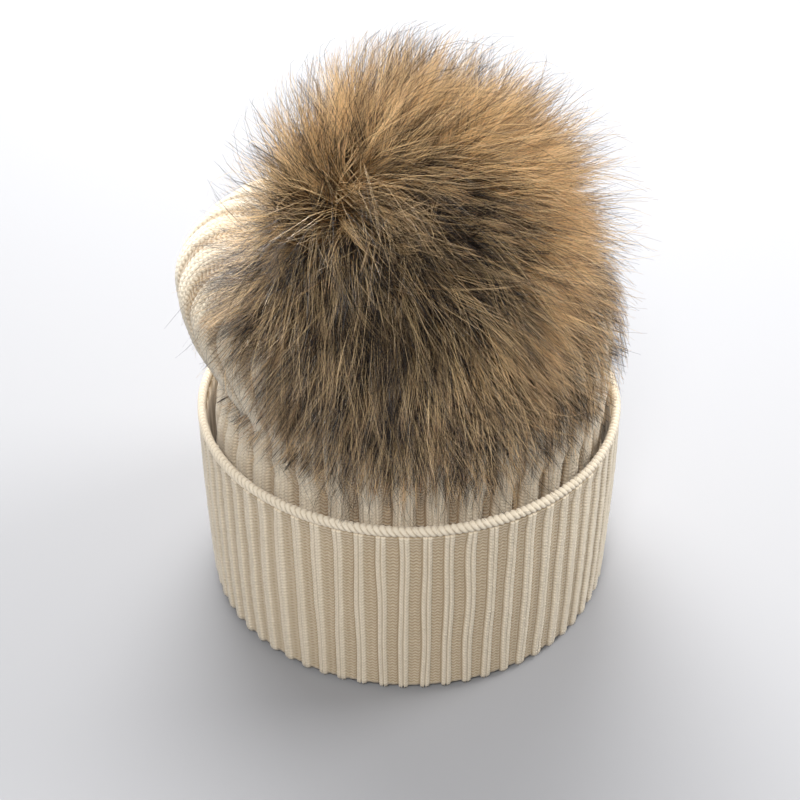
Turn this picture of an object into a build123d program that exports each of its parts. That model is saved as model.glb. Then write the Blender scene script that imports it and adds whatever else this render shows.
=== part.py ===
from build123d import *
import math
import os

# Pom pom beanie: a ribbed knit hat with a turned-up cuff and a detachable fur pom on a press stud.
# Millimetres. +Z is up, the head opening faces -Z and its rim lies in the plane Z = 0.
# -Y is the back of the hat, which the pom leans towards. The slack of the crown slumps towards -X.

# Driving dimensions
OVAL_RATIO = 1.11          # front-to-back size of the hat over its side-to-side size
LEAN = 0.05                # how far the hat leans forward (+Y) for each unit of height
FOLD_HEIGHT = 3.6          # height of the rounded turn at the rim
FOLD_DIP = 0.09            # how far the round fold is pressed flat by what it rests on
OUTER_LEAF = 3.6           # knit thickness of the visible leaf of the cuff
INNER_LEAF = 3.2           # knit thickness of the leaf against the head
LEAF_GAP = 0.4             # air between the two leaves
CUFF_R_RIM = 83.9          # outer half-width of the cuff just above the rim
CUFF_R_MID = 86.1          # the same at mid height
CUFF_R_TOP = 87.0          # the same at the top edge
CUFF_LEAF_TOP = 75.0       # height where the ribs stop and the edge roll begins
WELT_R = 2.4               # radius of the rolled edge
WELT_RAISE = 0.8 * WELT_R  # height of the roll's middle over the top of the leaf
INNER_LEAF_TOP = 56.0      # height where the inner leaf is linked to the crown
CROWN_BOTTOM = 58.0        # lowest row of the crown
CROWN_R_BOTTOM = 80.5      # outer half-width of the crown at that row
CROWN_KNIT = 3.4           # knit thickness of the crown

SNAP_TILT = 20.0           # lean of the snap axis from +Z towards -Y, in degrees
SNAP_SEAT = Vector(6, -22, 124)  # middle of the gathered top, on the knit's outer face
SEAT_R = 12.0              # radius of the flat gathered top

STUD_R = 6.5               # radius of the stud's and the socket's sewing flanges
STUD_PLATE = 0.8           # thickness of both flanges
STUD_NECK_R = 1.5
STUD_BULB_R = 2.0
STUD_HEIGHT = 4.0
STUD_NECK_TOP = 2.2        # height where the neck starts to swell into the bulb
STUD_BULB_AT = 3.0         # height of the bulb's widest circle
SOCKET_BORE_R = 2.15
SOCKET_BOSS_R = 3.9
SOCKET_BOTTOM = 1.0        # heights along the snap axis, from the seat
SOCKET_FLANGE = 3.4
SEWING_HOLES = 4
SEWING_HOLE_R = 0.7
STITCH_THREAD_R = 0.35
STITCH_ARCH_R = 1.45
STITCH_CENTRE_R = 6.0

SEWING_HOLE_AT = 4.6       # distance of the sewing holes from the snap axis
RING_R = 2.65              # spring ring, drawn at the size it opens to over the bulb
RING_WIRE_R = 0.3
RING_HEIGHT = 2.0
RING_GAP = 1.2
RING_PLAY = 0.05           # room above and below the ring in its groove
GROOVE_PLAY = 0.25         # room round the ring in its groove
DOME_R = 3.0               # closed end of the socket
DOME_RISE = 0.9
DOME_BEVEL = 0.5
DOME_HOLLOW = 0.3          # how far the bore runs up into the closed end

GATHER_R = 9.6             # drawn-up yarn at the crown's top
GATHER_YARN_R = 1.0
PATCH_R = 11.0
PATCH_THICK = 1.2

LABEL_TOP = 57.5
LABEL_LONG = 38.0
LABEL_WIDE = 24.0
LABEL_THICK = 0.3
LABEL_GAP = 0.15           # air between the label and the knit
LABEL_AT_Y = 4.0
LABEL_STITCHES = 8
LABEL_THREAD_R = 0.3
LABEL_STITCH_LONG = 0.6    # length of one stitch over the step between two
LABEL_STITCH_DROP = 1.5    # how far the stitches lie below the label's top
LABEL_STITCH_STANDOFF = 1.3 * LABEL_THREAD_R

MOUTH_R = 5.0              # mouth of the gathered pelt
MOUTH_CORD_R = 0.68        # just under half the pelt's thickness
MOUTH_PLAY = 0.05          # room between the cord and the mouth's edge
BACKING_R = 15.0
BACKING_THICK = 1.5
BACKING_PLAY = 0.1         # room round the socket's closed end in the disc
PELT_R = 32.0              # outer radius of the pelt's backing, drawn round the stuffing
PELT_THICK = 1.4
PELT_SINK = 30.0           # height of the pelt's centre over the backing disc
UNDERFUR_R = 58.0
POM_R = 76.0               # reach of the fur's dense outline from the middle of the pom
# Radius and height, from the seat along the snap axis, of three circles of the fur's underside.
FUR_UNDER_START = (19.2, 14.0)   # where it leaves the pelt
FUR_UNDER_INNER = (38.0, 25.0)   # where it levels out
FUR_UNDER_OUTER = (2 * POM_R, 27.76)

# Heights along the snap axis, from the seat
BACKING_BOTTOM = SOCKET_FLANGE + STUD_PLATE
BACKING_TOP = BACKING_BOTTOM + BACKING_THICK
POM_MIDDLE = BACKING_TOP + PELT_SINK

# Crown rows from the hidden bottom row to the gathered top. Each row is an oval:
# centre x, centre y, height, half-width, oval ratio, tilt, and the slump at the -X side (out, up).
CROWN_ROWS = [
    (0.0, LEAN * 58, CROWN_BOTTOM, CROWN_R_BOTTOM, OVAL_RATIO, 0, 0, 0),
    (0.0, LEAN * 68, 68, 81.2, OVAL_RATIO, 0, 0, 0),
    (0.0, LEAN * 79, 79, 81.8, OVAL_RATIO, 0, -1, 0),
    (0.0, 4.2, 97, 82.0, 1.105, 2, -7, 0),
    (0.0, 3.5, 112, 82.0, 1.09, 4, 0, -3),
    (0.0, 3.0, 128, 80.0, 1.07, 7, 10, -3),
    (0.0, 1.0, 140, 73.0, 1.05, 10, 18, 2),
    (1.0, -3.0, 145, 60.0, 1.03, 13, 15, 9),
    (3.0, -9.0, 141, 44.0, 1.01, 16, 6, 8),
    (5.0, -17.0, 129, 28.0, 1.00, 20, 1, 1),
    (6.0, -20.8, 124.6, 17.0, 1.00, 20, 0, 0),
    (6.0, -22.0, 124.0, SEAT_R, 1.00, 20, 0, 0),
]
SLUMP_MIDDLE = 183.0       # direction of the slump, in degrees from +X
SLUMP_HALF_WIDTH = 75.0
ROW_POINTS = 24            # points that each crown row's spline passes through


def snap_normal():
    """Unit vector along the snap axis, out of the hat."""
    lean = math.radians(SNAP_TILT)
    return Vector(0, -math.sin(lean), math.cos(lean))


def on_snap(shape):
    """Moves a shape made about the local Z axis onto the snap axis, from the seat upwards."""
    return Location(SNAP_SEAT, (SNAP_TILT, 0, 0)) * shape


def revolved(face):
    """Revolves a face drawn in the XZ plane about the Z axis."""
    return revolve(face, Axis.Z, 360)


def profile(*points):
    """Closed straight-sided face in the XZ plane from (radius, height) pairs."""
    return make_face(Plane.XZ * Polyline(*points, close=True))


def oval(shape):
    """Turns a round shape about Z into the hat's leaning oval."""
    rows = [[1, 0, 0, 0], [0, OVAL_RATIO, LEAN, 0], [0, 0, 1, 0], [0, 0, 0, 1]]
    return shape.transform_geometry(Matrix(rows))


# ---- cuff ----

def turn_up_cuff():
    """One knit band folded at the rim: outer leaf, rounded fold and inner leaf."""
    leaf_in = CUFF_R_RIM - OUTER_LEAF - LEAF_GAP - INNER_LEAF
    gap_in = leaf_in + INNER_LEAF
    gap_out = CUFF_R_RIM - OUTER_LEAF
    middle = (leaf_in + CUFF_R_RIM) / 2
    mid_z = (FOLD_HEIGHT + CUFF_LEAF_TOP) / 2
    top_in = CROWN_R_BOTTOM - CROWN_KNIT
    with BuildLine(Plane.XZ) as line:
        Line((top_in, INNER_LEAF_TOP), (leaf_in, FOLD_HEIGHT))
        ThreePointArc((leaf_in, FOLD_HEIGHT), (middle, -FOLD_DIP), (CUFF_R_RIM, FOLD_HEIGHT))
        ThreePointArc((CUFF_R_RIM, FOLD_HEIGHT), (CUFF_R_MID, mid_z), (CUFF_R_TOP, CUFF_LEAF_TOP))
        Line((CUFF_R_TOP, CUFF_LEAF_TOP), (CUFF_R_TOP - OUTER_LEAF, CUFF_LEAF_TOP))
        ThreePointArc(
            (CUFF_R_TOP - OUTER_LEAF, CUFF_LEAF_TOP),
            (CUFF_R_MID - OUTER_LEAF, mid_z),
            (gap_out, FOLD_HEIGHT),
        )
        Line((gap_out, FOLD_HEIGHT), (gap_in, FOLD_HEIGHT))
        Line((gap_in, FOLD_HEIGHT), (CROWN_R_BOTTOM, INNER_LEAF_TOP))
        Line((CROWN_R_BOTTOM, INNER_LEAF_TOP), (top_in, INNER_LEAF_TOP))
    under = Pos(0, 0, -FOLD_HEIGHT) * Box(4 * CUFF_R_TOP, 4 * CUFF_R_TOP, 2 * FOLD_HEIGHT)
    return oval(revolved(make_face(line.line))) - under


def cuff_edge_welt():
    """Rolled cast-on edge that ends the outer leaf: a bead with a flat underside."""
    middle_r = CUFF_R_TOP - OUTER_LEAF / 2
    bead = Plane.XZ * Pos(middle_r, CUFF_LEAF_TOP + WELT_RAISE) * Circle(WELT_R)
    over_leaf = Plane.XZ * Pos(middle_r, CUFF_LEAF_TOP + 2 * WELT_R) * Rectangle(4 * WELT_R, 4 * WELT_R)
    return oval(revolved(bead & over_leaf))


def crown_linking_seam():
    """Chain of linking stitches between the inner leaf and the crown."""
    r_in = CROWN_R_BOTTOM - CROWN_KNIT
    return oval(revolved(profile(
        (r_in, INNER_LEAF_TOP),
        (CROWN_R_BOTTOM, INNER_LEAF_TOP),
        (CROWN_R_BOTTOM, CROWN_BOTTOM),
        (r_in, CROWN_BOTTOM),
    )))


# ---- crown ----

def slump_weight(degrees):
    """1 in the middle of the slump, falling smoothly to 0 at its sides."""
    away = (degrees - SLUMP_MIDDLE + 180) % 360 - 180
    if abs(away) >= SLUMP_HALF_WIDTH:
        return 0.0
    return math.cos(away / SLUMP_HALF_WIDTH * math.pi / 2) ** 2


def crown_point(row, degrees):
    """Point on the crown's outer face, at one row and one direction."""
    cx, cy, z, half_width, ratio, tilt, out, up = CROWN_ROWS[row]
    weight = slump_weight(degrees)
    reach = half_width + out * weight
    angle = math.radians(degrees)
    across = reach * ratio * math.sin(angle)
    lean = math.radians(tilt)
    x = cx + reach * math.cos(angle)
    y = cy + across * math.cos(lean)
    return Vector(x, y, z + up * weight + across * math.sin(lean))


def crown_normal(row, degrees):
    """Outward direction of the crown's face, from its neighbouring points."""
    below = crown_point(max(row - 1, 0), degrees)
    above = crown_point(min(row + 1, len(CROWN_ROWS) - 1), degrees)
    around = crown_point(row, degrees + 2) - crown_point(row, degrees - 2)
    return around.cross(above - below).normalized()


def inward_step(row, degrees):
    """Unit step into the knit. The end rows step in their own plane, so they stay flat."""
    if row == len(CROWN_ROWS) - 1:
        return -snap_normal()
    step = -crown_normal(row, degrees)
    if row == 0:
        step = Vector(step.X, step.Y, 0).normalized()
    return step


def crown_section(row, inset, drop=0.0):
    """Closed spline through one crown row, moved inward by inset and down by drop."""
    points = []
    for i in range(ROW_POINTS):
        degrees = 360 * i / ROW_POINTS
        point = crown_point(row, degrees) + inward_step(row, degrees) * inset
        points.append(point - Vector(0, 0, drop))
    return Wire([Edge.make_spline(points, periodic=True)])


def knit_crown():
    """Ribbed tube from the linking seam up over the slump and in to the gathered top."""
    rows = range(len(CROWN_ROWS))
    outer = Solid.make_loft([crown_section(row, 0) for row in rows])
    below = [crown_section(0, CROWN_KNIT, drop=2)]
    inner = Solid.make_loft(below + [crown_section(row, CROWN_KNIT) for row in rows[1:]])
    return outer - inner


# ---- crown trim ----

def ring(major, minor, height):
    """Round ring about the snap axis."""
    return on_snap(Pos(0, 0, height) * Torus(major, minor))


def crown_gather_thread():
    """Drawn-up yarn ring on the gathered top, round the stud."""
    return ring(GATHER_R, GATHER_YARN_R, GATHER_YARN_R)


def crown_patch():
    """Felt disc inside the crown that the stud's stitches pull against."""
    return on_snap(Pos(0, 0, -CROWN_KNIT - PATCH_THICK / 2) * Cylinder(PATCH_R, PATCH_THICK))


def sewing_holes(bottom, thickness):
    """Cutters for the ring of sewing holes in a snap flange."""
    hole = Cylinder(SEWING_HOLE_R, thickness * 3)
    middle = Pos(0, 0, bottom + thickness / 2)
    return [middle * spot * hole for spot in PolarLocations(SEWING_HOLE_AT, SEWING_HOLES)]


def sewing_arches(base, side):
    """Thread loops from each sewing hole out over the flange's rim; side is 1 up or -1 down."""
    loop = Rot(90, 0, 0) * Torus(STITCH_ARCH_R, STITCH_THREAD_R)
    room = 2 * (STITCH_ARCH_R + STITCH_THREAD_R)
    arch = loop & (Pos(0, 0, side * room / 2) * Box(room, room, room))
    spots = PolarLocations(STITCH_CENTRE_R, SEWING_HOLES)
    return on_snap(Compound(children=[Pos(0, 0, base) * spot * arch for spot in spots]))


def snap_stud():
    """Male half of the press stud: drilled plate, neck and bulb."""
    with BuildLine(Plane.XZ) as line:
        Polyline(
            (0, STUD_HEIGHT), (0, 0), (STUD_R, 0), (STUD_R, STUD_PLATE),
            (STUD_NECK_R, STUD_PLATE), (STUD_NECK_R, STUD_NECK_TOP),
        )
        Spline(
            (STUD_NECK_R, STUD_NECK_TOP),
            (STUD_BULB_R, STUD_BULB_AT),
            (0, STUD_HEIGHT),
            tangents=((0.3, 1), (-1, 0)),
        )
    stud = revolved(make_face(line.line))
    for cutter in sewing_holes(0, STUD_PLATE):
        stud -= cutter
    return on_snap(stud)


# ---- parts on the pom ----

def snap_spring_ring():
    """Open wire ring in the socket's groove that grips the stud's neck."""
    wire = Pos(0, 0, RING_HEIGHT) * Torus(RING_R, RING_WIRE_R)
    gap = Pos(RING_R, 0, RING_HEIGHT) * Box(2 * RING_R, RING_GAP, 4 * RING_WIRE_R)
    return on_snap(wire - gap)


def snap_socket():
    """Female half of the press stud: boss with its bore and groove, drilled flange and dome."""
    flange_top = SOCKET_FLANGE + STUD_PLATE
    outer = profile(
        (0, SOCKET_BOTTOM), (SOCKET_BOSS_R, SOCKET_BOTTOM), (SOCKET_BOSS_R, SOCKET_FLANGE),
        (STUD_R, SOCKET_FLANGE), (STUD_R, flange_top), (DOME_R, flange_top),
        (DOME_R - DOME_BEVEL, flange_top + DOME_RISE), (0, flange_top + DOME_RISE),
    )
    bore_top = flange_top + DOME_HOLLOW
    groove_low = RING_HEIGHT - RING_WIRE_R - RING_PLAY
    groove_high = RING_HEIGHT + RING_WIRE_R + RING_PLAY
    groove_r = RING_R + RING_WIRE_R + GROOVE_PLAY
    bore = profile(
        (0, 0), (SOCKET_BORE_R, 0), (SOCKET_BORE_R, groove_low),
        (groove_r, groove_low), (groove_r, groove_high), (SOCKET_BORE_R, groove_high),
        (SOCKET_BORE_R, bore_top), (0, bore_top),
    )
    socket = revolved(outer) - revolved(bore)
    for cutter in sewing_holes(SOCKET_FLANGE, STUD_PLATE):
        socket -= cutter
    return on_snap(socket)


def pom_backing_disc():
    """Stiff disc that closes the pom and carries the socket."""
    disc = Pos(0, 0, BACKING_BOTTOM + BACKING_THICK / 2) * Cylinder(BACKING_R, BACKING_THICK)
    hole = Pos(0, 0, BACKING_BOTTOM) * Cylinder(DOME_R + BACKING_PLAY, 4 * BACKING_THICK)
    return on_snap(disc - hole)


def ball(radius, lowest):
    """Ball about the pom's middle, cut off flat at the height lowest."""
    whole = Pos(0, 0, POM_MIDDLE) * Sphere(radius)
    return whole & (Pos(0, 0, lowest + 2 * POM_R) * Cylinder(2 * POM_R, 4 * POM_R))


def pelt_inside():
    """Space inside the pelt."""
    return ball(PELT_R - PELT_THICK, BACKING_TOP + PELT_THICK)


def pom_pelt():
    """Backing fabric of the fur, gathered into a ball with a small mouth at its foot."""
    mouth = Pos(0, 0, BACKING_TOP) * Cylinder(MOUTH_R, 4 * PELT_THICK)
    return on_snap(ball(PELT_R, BACKING_TOP) - pelt_inside() - mouth)


def pom_stuffing():
    """Fibre filling that fills the pelt."""
    return on_snap(pelt_inside())


def pom_gather_cord():
    """Cord that draws the pelt's mouth together."""
    return ring(MOUTH_R - MOUTH_CORD_R - MOUTH_PLAY, MOUTH_CORD_R, BACKING_TOP + PELT_THICK / 2)


def above_fur_underside():
    """Space over the fur's underside, which clears the crown all the way round."""
    top = POM_MIDDLE + 2 * POM_R
    return revolved(profile(
        (0, POM_MIDDLE - PELT_R), FUR_UNDER_START, FUR_UNDER_INNER, FUR_UNDER_OUTER,
        (2 * POM_R, top), (0, top),
    ))


def pom_underfur():
    """Dense soft coat next to the pelt."""
    coat = ball(UNDERFUR_R, BACKING_TOP) - ball(PELT_R, BACKING_TOP - 1)
    return on_snap(coat & above_fur_underside())


def pom_guard_hair():
    """Longer outer coat, drawn at the reach of its dense tips."""
    coat = ball(POM_R, BACKING_TOP) - ball(UNDERFUR_R, BACKING_TOP - 1)
    return on_snap(coat & above_fur_underside())


# ---- label ----

def care_label():
    """Blank satin tab hanging inside the cuff from the linking seam."""
    r_out = CROWN_R_BOTTOM - CROWN_KNIT - LABEL_GAP
    lean_in = (CROWN_R_BOTTOM - CROWN_KNIT) - (CUFF_R_RIM - OUTER_LEAF - LEAF_GAP - INNER_LEAF)
    bottom = LABEL_TOP - LABEL_LONG
    r_low = r_out - lean_in * (LABEL_TOP - bottom) / INNER_LEAF_TOP
    band = oval(revolved(profile(
        (r_out - LABEL_THICK, LABEL_TOP), (r_low - LABEL_THICK, bottom),
        (r_low, bottom), (r_out, LABEL_TOP),
    )))
    return band & (Pos(CUFF_R_TOP, LABEL_AT_Y, 0) * Box(CUFF_R_TOP, LABEL_WIDE, 4 * LABEL_TOP))


def label_stitches():
    """Row of stitches across the label's top edge."""
    stitches = []
    step = LABEL_WIDE / LABEL_STITCHES
    r_face = CROWN_R_BOTTOM - CROWN_KNIT - LABEL_GAP - LABEL_THICK - LABEL_STITCH_STANDOFF
    height = LABEL_TOP - LABEL_STITCH_DROP
    for i in range(LABEL_STITCHES):
        across = (i + 0.5 - LABEL_STITCHES / 2) * step + LABEL_AT_Y
        angle = math.asin((across - LEAN * height) / (OVAL_RATIO * r_face))
        x = r_face * math.cos(angle)
        turn = math.degrees(math.atan2(-OVAL_RATIO * math.cos(angle), math.sin(angle)))
        thread = Cylinder(LABEL_THREAD_R, LABEL_STITCH_LONG * step, rotation=(0, 90, 0))
        stitches.append(Pos(x, across, height) * Rot(0, 0, turn) * thread)
    return Compound(children=stitches)


PARTS = {
    "turn_up_cuff": turn_up_cuff,
    "cuff_edge_welt": cuff_edge_welt,
    "crown_linking_seam": crown_linking_seam,
    "knit_crown": knit_crown,
    "crown_gather_thread": crown_gather_thread,
    "crown_patch": crown_patch,
    "snap_stud": snap_stud,
    "stud_stitches": lambda: sewing_arches(0, 1),
    "care_label": care_label,
    "label_stitches": label_stitches,
    "snap_spring_ring": snap_spring_ring,
    "snap_socket": snap_socket,
    "socket_stitches": lambda: sewing_arches(BACKING_BOTTOM, -1),
    "pom_backing_disc": pom_backing_disc,
    "pom_pelt": pom_pelt,
    "pom_stuffing": pom_stuffing,
    "pom_gather_cord": pom_gather_cord,
    "pom_underfur": pom_underfur,
    "pom_guard_hair": pom_guard_hair,
}

os.makedirs("parts", exist_ok=True)
for node, make in PARTS.items():
    export_step(make(), f"parts/{node}.step")
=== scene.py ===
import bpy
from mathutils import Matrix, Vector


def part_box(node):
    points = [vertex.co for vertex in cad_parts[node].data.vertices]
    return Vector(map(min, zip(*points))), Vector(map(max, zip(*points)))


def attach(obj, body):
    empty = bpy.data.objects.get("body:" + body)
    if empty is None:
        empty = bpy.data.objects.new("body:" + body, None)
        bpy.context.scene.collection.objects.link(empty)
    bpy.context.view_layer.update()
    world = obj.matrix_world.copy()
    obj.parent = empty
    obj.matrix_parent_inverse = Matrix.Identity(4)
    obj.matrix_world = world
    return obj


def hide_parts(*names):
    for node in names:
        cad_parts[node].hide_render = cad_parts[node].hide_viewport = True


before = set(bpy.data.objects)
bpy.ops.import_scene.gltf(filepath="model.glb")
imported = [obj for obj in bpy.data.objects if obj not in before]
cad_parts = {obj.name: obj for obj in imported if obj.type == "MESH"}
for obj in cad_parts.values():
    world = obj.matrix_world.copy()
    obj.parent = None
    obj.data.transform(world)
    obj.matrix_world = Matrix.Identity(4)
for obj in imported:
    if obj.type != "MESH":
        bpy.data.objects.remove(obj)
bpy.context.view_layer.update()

import math

import bpy
import numpy as np
from mathutils import Vector
from mathutils.bvhtree import BVHTree

# Pom pom beanie. Metres, +Z up, the head opening faces -Z, the pom leans towards -Y.

MM = 0.001

# ---- the crown's shape: the same rows as the CAD crown, in millimetres ----
OVAL_RATIO = 1.11                  # depth of the hat over its width
LEAN = 0.05                        # how far the oval's middle moves towards +Y for each unit of height
SEAT = np.array([6.0, -22.0, 124.0]) * MM          # middle of the gathered top, under the stud
SNAP_LEAN = math.radians(20)
SNAP_AXIS = np.array([0.0, -math.sin(SNAP_LEAN), math.cos(SNAP_LEAN)])
# centre x, centre y, height, half-width, oval ratio, tilt, slump out, slump up
CROWN_ROWS = np.array([
    (0.0, LEAN * 58, 58, 80.5, OVAL_RATIO, 0, 0, 0),
    (0.0, LEAN * 68, 68, 81.2, OVAL_RATIO, 0, 0, 0),
    (0.0, LEAN * 79, 79, 81.8, OVAL_RATIO, 0, -1, 0),
    (0.0, 4.2, 97, 82.0, 1.105, 2, -7, 0),
    (0.0, 3.5, 112, 82.0, 1.09, 4, 0, -3),
    (0.0, 3.0, 128, 80.0, 1.07, 7, 10, -3),
    (0.0, 1.0, 140, 73.0, 1.05, 10, 18, 2),
    (1.0, -3.0, 145, 60.0, 1.03, 13, 15, 9),
    (3.0, -9.0, 141, 44.0, 1.01, 16, 6, 8),
    (5.0, -17.0, 129, 28.0, 1.00, 20, 1, 1),
    (6.0, -20.8, 124.6, 17.0, 1.00, 20, 0, 0),
    (6.0, -22.0, 124.0, 12.0, 1.00, 20, 0, 0),
])
LAST_ROW = len(CROWN_ROWS) - 1
SLUMP_MIDDLE = 183.0               # direction of the slump, in degrees from +X
SLUMP_HALF_WIDTH = 75.0
CROWN_KNIT = 3.4 * MM

# ---- knitting ----
CUFF_RIBS = 66
CUFF_ROW = 1.44 * MM
CROWN_RIBS = 40
CROWN_ROW = 1.6 * MM


# ======== helpers ========

def make_mesh(name, verts, quads, tris=None, uv=None, attrs=None):
    """New smooth mesh object from arrays. uv is one (u, v) for each face corner, quads first."""
    quads = np.asarray(quads)
    tris = np.zeros((0, 3), int) if tris is None else tris
    mesh = bpy.data.meshes.new(name)
    mesh.vertices.add(len(verts))
    mesh.vertices.foreach_set("co", np.asarray(verts, np.float32).ravel())
    loops = np.concatenate([quads.ravel(), tris.ravel()]).astype(np.int32)
    mesh.loops.add(len(loops))
    mesh.loops.foreach_set("vertex_index", loops)
    sizes = np.concatenate([np.full(len(quads), 4), np.full(len(tris), 3)]).astype(np.int32)
    starts = np.concatenate([[0], np.cumsum(sizes)[:-1]]).astype(np.int32)
    mesh.polygons.add(len(sizes))
    mesh.polygons.foreach_set("loop_start", starts)
    mesh.polygons.foreach_set("loop_total", sizes)
    mesh.polygons.foreach_set("use_smooth", np.ones(len(sizes), bool))
    if uv is not None:
        layer = mesh.uv_layers.new(name="OFBake")
        layer.data.foreach_set("uv", np.asarray(uv, np.float32).ravel())
    for key, values in (attrs or {}).items():
        layer = mesh.attributes.new(key, "FLOAT", "POINT")
        layer.data.foreach_set("value", np.asarray(values, np.float32).ravel())
    mesh.update()
    mesh.validate()
    obj = bpy.data.objects.new(name, mesh)
    bpy.context.scene.collection.objects.link(obj)
    return obj


def ease(f):
    """Smooth step: 0 at 0, 1 at 1, and level at both."""
    return f * f * (3 - 2 * f)


def smooth_noise(x, y, cells, seed):
    """Smooth noise in -1..1 over a lattice of unit cells; x wraps after the given cells."""
    x, y = np.broadcast_arrays(x, y)
    rows = 128
    table = np.random.default_rng(seed).uniform(-1, 1, (cells, rows))
    xi, yi = np.floor(x).astype(int), np.floor(y).astype(int)
    fx, fy = ease(x - xi), ease(y - yi)
    low = table[xi % cells, yi % rows] * (1 - fx) + table[(xi + 1) % cells, yi % rows] * fx
    high = table[xi % cells, (yi + 1) % rows] * (1 - fx) + table[(xi + 1) % cells, (yi + 1) % rows] * fx
    return low * (1 - fy) + high * fy


def unit(v):
    """Vectors of length 1."""
    return v / np.maximum(np.linalg.norm(v, axis=-1, keepdims=True), 1e-12)


def side_weight(theta, middle, half_width):
    """1 in the direction middle, in degrees round the hat, and 0 from half_width to each side."""
    away = (np.degrees(theta) - middle + 180) % 360 - 180
    return np.cos(np.clip(away / half_width, -1, 1) * math.pi / 2) ** 2


def quads_between(low, high):
    """Quads that join rows of vertex numbers to the rows above, where each row closes on itself."""
    return np.stack([low, np.roll(low, -1, -1), np.roll(high, -1, -1), high], -1).reshape(-1, 4)


def corner_uv(left, right, below, above):
    """UVs of the corners of such quads, from the u of their sides and the v of their ends."""
    left, right, below, above = np.broadcast_arrays(left, right, below, above)
    corners = [(left, below), (right, below), (right, above), (left, above)]
    return np.stack([np.stack(corner, -1) for corner in corners], -2).reshape(-1, 2)


def spline_rows(t):
    """Catmull-Rom values of every column of CROWN_ROWS, at row numbers t."""
    i = np.clip(np.floor(t).astype(int), 0, LAST_ROW - 1)
    u = (t - i)[..., None]
    p0, p1 = CROWN_ROWS[np.maximum(i - 1, 0)], CROWN_ROWS[i]
    p2, p3 = CROWN_ROWS[i + 1], CROWN_ROWS[np.minimum(i + 2, LAST_ROW)]
    return 0.5 * (2 * p1 + (p2 - p0) * u + (2 * p0 - 5 * p1 + 4 * p2 - p3) * u**2
                  + (3 * p1 - p0 - 3 * p2 + p3) * u**3)


def crown_outer(t, theta):
    """Point of the crown's outer face. Past the last row it closes in on the seat's middle."""
    t, theta = np.broadcast_arrays(t, theta)
    cx, cy, z, half, ratio, tilt, out, up = np.moveaxis(spline_rows(np.minimum(t, LAST_ROW)), -1, 0)
    weight = side_weight(theta, SLUMP_MIDDLE, SLUMP_HALF_WIDTH)
    reach = half + out * weight
    across = reach * ratio * np.sin(theta)
    lean = np.radians(tilt)
    p = np.stack([cx + reach * np.cos(theta), cy + across * np.cos(lean),
                  z + up * weight + across * np.sin(lean)], -1) * MM
    close = np.clip(t - LAST_ROW, 0, 1)[..., None]
    return p + (SEAT - p) * close


def crown_normal(t, theta):
    """Outward unit normal of the crown's outer face, which is the snap axis on the seat."""
    t, theta = np.broadcast_arrays(t, theta)
    dt, da = 0.04, 0.02
    t_in = np.clip(t, dt, LAST_ROW - dt)
    along = crown_outer(t_in + dt, theta) - crown_outer(t_in - dt, theta)
    around = crown_outer(t_in, theta + da) - crown_outer(t_in, theta - da)
    blend = np.clip((t - LAST_ROW + 0.4) / 0.4, 0, 1)[..., None]
    return unit(unit(np.cross(around, along)) * (1 - blend) + SNAP_AXIS * blend)


# ======== knit ========

# Relief at each third of a row: of a V stitch's leg, its middle, the gap beside it, and a purl bar.
LEG_HEIGHT = (0.10, 1.0, 0.85)
MIDDLE_HEIGHT = (0.05, 0.40, 0.25)
EDGE_HEIGHT = (0.0, 0.15, 0.05)
PURL_HEIGHT = (0.0, 0.95, 0.45)
LEG_SLANT = 0.30                   # how far a leg climbs from its middle, in rows
PURL_ARC = 0.26                    # how far a purl bar's ends climb, in rows
CREST_SHADE = 0.5                  # how much of a point's painted shade comes from the rib, not the stitch


def stitch_columns(ribs, knit_wales, purl_wales, purl_width):
    """Vertex columns of one row of rib knitting: four to a wale, for each third of a row.

    Gives the place round the hat (0 to 1), the place across the rib (-1 to 1, or past 1 in the
    gap), the relief of the single stitch (0 to 1) and how far each point is shifted up, in rows.
    A wale is one column of stitches.
    """
    width = knit_wales + purl_wales * purl_width
    share = knit_wales / width
    place, across, relief, lift = [], [], [], []
    for third in range(3):
        row = []
        for wale in range(knit_wales):
            row += [
                (wale, EDGE_HEIGHT[third], 2 * LEG_SLANT),
                (wale + 0.25, LEG_HEIGHT[third], LEG_SLANT),
                (wale + 0.5, MIDDLE_HEIGHT[third], 0.0),
                (wale + 0.75, LEG_HEIGHT[third], LEG_SLANT),
            ]
        for wale in range(purl_wales):
            for quarter in range(4):
                x = knit_wales + (wale + quarter / 4) * purl_width
                row.append((x, PURL_HEIGHT[third], PURL_ARC * math.cos(math.pi * quarter / 2)))
        xs = np.array([r[0] for r in row]) / width
        place.append((xs[None, :] + np.arange(ribs)[:, None]).ravel() / ribs)
        across.append(np.tile(xs / share * 2 - 1, ribs))
        relief.append(np.tile([r[1] for r in row], ribs))
        lift.append(np.tile([r[2] for r in row], ribs))
    return [np.array(a, float) for a in (place, across, relief, lift)]


def rib_crest(across, wales, groove):
    """Height of the rib's cross-section: 1 on its rounded top, 0 in the gap beside it.

    The knit wales of the rib stand apart as cords, with a groove between each two.
    """
    inside = np.clip(np.abs(across), 0, 1)
    wale = (across + 1) / 2 * wales
    between = (np.abs(wale - np.round(wale)) < 0.01) & (inside < 0.99)
    return (1 - inside**3.2) ** 0.75 * (1 - groove * between)


def knit_faults(x, row, ribs, cells, drift_rows, swell_rows, seed):
    """What keeps knitting from being perfect: each rib's drift sideways, its swell, and each stitch's.

    x is the place round the hat, row the number of the row, and cells how many a rib is divided in.
    """
    drift = smooth_noise(x * ribs, row / drift_rows, ribs, seed)
    stitch = 1 + 0.25 * smooth_noise(x * ribs * cells, row, ribs * cells, seed + 1)
    rib = 1 + 0.10 * smooth_noise(x * ribs, row / swell_rows, ribs, seed + 2)
    return drift, stitch, rib


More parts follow.
